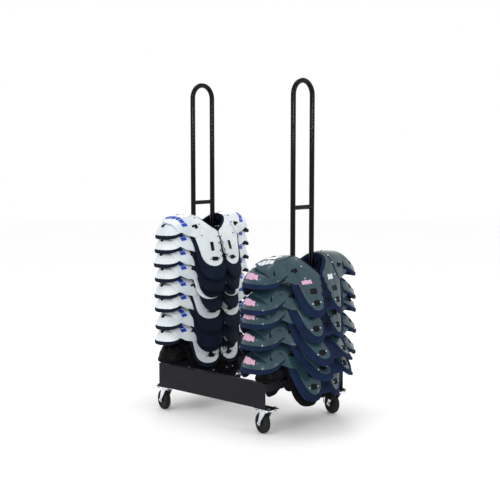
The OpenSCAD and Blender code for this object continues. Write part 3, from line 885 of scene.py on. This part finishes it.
def bridge(work, arch, first, last):
    """Padded tongue between both halves, with sewn channels across it, mirrored with the rest."""
    s, y = np.meshgrid(np.linspace(first, last, 40), np.linspace(0, 1, 8), indexing="ij")
    inner, _ = arch.edges(s)
    y = y * (inner + 12)
    swell = 2.4 * abs(np.sin((s - first) / (last - first) * np.pi * 4)) ** 0.6
    work.shell(arch.surface(s, y, -9 + swell), arch.surface(s, y, -13 - swell))


def cap_strap(work, cap, angle):
    """Short elastic tab that runs up a cap, under the roll of the pad above."""
    path = cap.surface(math.radians(angle), np.linspace(0.60, 0.80, 8), 3.0)
    work.tube(path, 7.5, 10, 0.2, up=(0, 0.6, 0.8))


WHITE_FLAP = Flap([
    (-165, 152), (-158, 180), (-148, 212), (-118, 252), (-88, 266), (-30, 278), (20, 276), (62, 256),
    (84, 228), (76, 190), (40, 140), (0, 116), (-45, 110), (-90, 112), (-133, 130)],
    centre=(-46, 190), droop_from=222, droop=0.0100)
GREY_FLAP = Flap([
    (-182, 160), (-172, 204), (-126, 290), (-90, 320), (-44, 332), (26, 326), (66, 306), (88, 262),
    (74, 200), (44, 146), (0, 120), (-50, 118), (-98, 126), (-150, 138)],
    centre=(-50, 216), droop_from=230, droop=0.0052)
BLACK_FLAP = Flap([
    (-128, 146), (-118, 182), (-96, 212), (-60, 234), (-13, 240), (30, 234), (56, 208), (60, 170),
    (40, 136), (0, 116), (-45, 110), (-90, 118)],
    centre=(-36, 176), droop_from=208, droop=0.0110)

# roll is (thickness, height), slot (width, height, y, distance from the top), buckle (width, height, y) and
# anchor (distance from the top, y) on the epaulet. cap_anchor is an angle round the cap, and eyelet is how
# far the lace holes sit from the plate's inner edge.
STYLES = {
    "white": dict(
        plate=WHITE_PLATE, liner=WHITE_LINER, back=LONG_BACK, bow_end=20, shrink=0, flap=WHITE_FLAP,
        cap=Cap(yc=232, rx=76, ry=84, top=-15, drop=98, rise=0.42, rx_back=78),
        shell="white_shell", cloth="dark_liner", studs="trim", roll=(15, 21), slot=(19, 48, 66, 223),
        buckle=(40, 21, 65), anchor=(-109, 148), cap_anchor=2, eyelet=10),
    "grey": dict(
        plate=GREY_PLATE, liner=GREY_LINER, back=LONG_BACK, bow_end=20, shrink=0, flap=GREY_FLAP,
        cap=Cap(yc=264, rx=92, ry=108, top=-16, drop=117, rise=0.40, rx_back=122),
        shell="grey_shell", cloth="navy_liner", studs="hardware", roll=(18, 25), slot=(42, 27, 84, 228),
        buckle=(30, 28, 84), anchor=(-116, 172), cap_anchor=62, eyelet=6),
    # The lowest set on each post: its near-black shell and liner are painted shade, for the shade under the
    # stacks.
    "black": dict(
        plate=GREY_PLATE, liner=GREY_LINER, back=SHORT_BACK, bow_end=16, shrink=10, flap=BLACK_FLAP,
        cap=Cap(yc=222, rx=72, ry=78, top=-17, drop=104, rise=0.30, rx_back=72),
        shell="black_shell", cloth="black_liner", studs="hardware", roll=(14, 20), slot=(19, 40, 70, 200),
        buckle=(34, 20, 76), anchor=(-84, 150), cap_anchor=30, eyelet=8),
}
LABEL_WIDTHS = (11, 9, 12, 9, 12, 9)
GRAPHIC_WIDTHS = (20, 17, 24, 18, 25, 20)


def build_pad(body, style_name, side, ridge, lean, chest, shoulder_t, seed,
              reach=LINER_REACH, hang=AS_MADE):
    """One set of pads on its body. side is -1 for the left post and 1 for the right."""
    style = STYLES[style_name]
    arch = Arch(style, chest, hang)
    cap, flap, cloth = style["cap"], style["flap"], style["cloth"]
    cap.tuck(arch, flap)
    turn = Euler([math.radians(d) for d in lean[1:]], "XYZ").to_matrix().to_4x4()
    matrix = Matrix.Translation(((BASE_X + side * POST_X) * MM, lean[0] * MM, ridge * MM)) @ turn

    def piece(name, slot, fill, sharp=SHARP_DEGREES, both=True):
        work = Patchwork()
        fill(work)
        if both:
            work.mirror_y()
        return dress(work.build(f"{body}_{name}", matrix, sharp), slot, body)

    arches = piece("arches", style["shell"], lambda w: arch_shell(w, arch))
    caps = piece("caps", style["shell"], lambda w: cap_shell(w, cap))
    epaulets = piece("epaulets", style["shell"], lambda w: flap.shell(w, arch))
    for plate in (arches, caps, epaulets):
        bevelled(plate, 0.8)
    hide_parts(f"{body}_shells")

    cushions = piece("cushions", cloth, lambda w: arch_liner(w, arch, reach, shoulder_t, seed), 70)
    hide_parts(f"{body}_liner")
    piece("cap_cushions", cloth, lambda w: cap_cushion(w, cap, seed), 70)
    piece("cap_rolls", cloth, lambda w: cap_roll(w, cap, *style["roll"]), 80)
    piece("neck_roll", cloth, lambda w: neck_roll(w, arch), 80)
    tongues = {"chest_tongue": (10 - reach / 2, arch.top - 150),
               "back_tongue": (arch.top + 120, arch.length - 20)}
    for name, (first, last) in tongues.items():
        piece(name, cloth, lambda w: bridge(w, arch, first, last), 60)
    piece("fittings", "trim", lambda w: pad_fittings(w, arch, flap, cap, style), 50)
    piece("rivets", style["studs"], lambda w: pad_rivets(w, arch, flap, style), 50)
    piece("laces", "lace", lambda w: pad_laces(w, arch, seed, style), 80, both=False)
    piece("cap_straps", "webbing", lambda w: cap_strap(w, cap, style["cap_anchor"]), 60)

    if style_name == "white":
        mark = flap.local(arch, -34, 233, math.radians(-162))
        piece("graphic", "blue_graphic", lambda w: bars(w, mark, GRAPHIC_WIDTHS, 30, 0.30, 3), 60)
    elif style_name == "grey":
        on_cap = lambda x, y, lift: cap.surface(-0.16 + x / cap.rx, 0.90 - y / 150, 3 * lift + 1.2)
        piece("labels", "pale_label", lambda w: bars(w, on_cap, LABEL_WIDTHS, 18, -0.25, 1.5), 60)
    return arch, flap, matrix


def top_grey_labels(arch, flap, matrix):
    """Labels that only the uppermost grey set shows: on its left epaulet and on each chest plate."""
    epaulet = flap.local(arch, 8, 292, math.radians(-150))
    left_plate = arch_local(arch, arch.top - 179, 112, 0.05)
    right_plate = arch_local(arch, arch.top - 170, 72, 0.05)
    labels = [("epaulet_label", "white_ink", -1, (epaulet, (19, 15, 20, 16, 18), 28, 0.3, 3)),
              ("left_chest_label", "pale_label", -1, (left_plate, (12, 9, 13, 10, 12), 20, 0.2, 1.5)),
              ("right_chest_label", "white_ink", 1, (right_plate, (14, 9, 15), 26, 0.2, 2))]
    for name, ink, sign, print_of in labels:
        work = Patchwork()
        bars(work, *print_of)
        work.points = [p * np.array([1, sign, 1]) for p in work.points]
        dress(work.build(f"grey_pad_1_{name}", matrix, 60), "pale_label", "grey_pad_1", ink)


def slashes(body, arch, flap, matrix):
    """Two slanted print bars on each epaulet."""
    work = Patchwork()
    bars(work, flap.local(arch, -10, 290, math.radians(-160)), (7, 7), 38, 0.5, 7)
    work.mirror_y()
    dress(work.build(f"{body}_slashes", matrix, 60), "pale_label", body, "white_ink")


def shoulder_fill(ridges, k):
    """Thickness of a set's shoulder cushions, which rest on the set below."""
    below = ridges[k + 1] if k + 1 < len(ridges) else BLACK_RIDGE
    return min(50, ridges[k] - below - 28) - 1


def build_pads():
    for k, ridge in enumerate(WHITE_RIDGES):
        build_pad(f"white_pad_{k + 1}", "white", -1, ridge, WHITE_LEANS[k], WHITE_CHESTS[k],
                  shoulder_fill(WHITE_RIDGES, k), k, WHITE_REACH[k], WHITE_HANG[k])
    for k, ridge in enumerate(GREY_RIDGES):
        body = f"grey_pad_{k + 1}"
        made = build_pad(body, "grey", 1, ridge, GREY_LEANS[k], GREY_CHESTS[k],
                         shoulder_fill(GREY_RIDGES, k), k + 11)
        if k == 0:
            top_grey_labels(*made)
        if k in (2, 3):
            slashes(body, *made)
    # The lowest sets get near-black shells and liners, which paint in the shade under the stacks.
    for body, side, seed in (("left_black_pad", -1, 3), ("right_black_pad", 1, 7)):
        build_pad(body, "black", side, BLACK_RIDGE, SQUARE, BLACK_CHEST, 12, seed)


# --- rack -------------------------------------------------

def finish_frame_nodes():
    """Gives every CAD node that stays visible its material."""
    for entry in frame["record"]["subparts"]:
        node, slot = entry["node"], entry["material_slot"]
        if node in NODES:
            NODES[node].data.materials.clear()
            NODES[node].data.materials.append(MATERIALS[slot])


build_camera()
build_lights()
build_floor()
build_pads()
finish_frame_nodes()
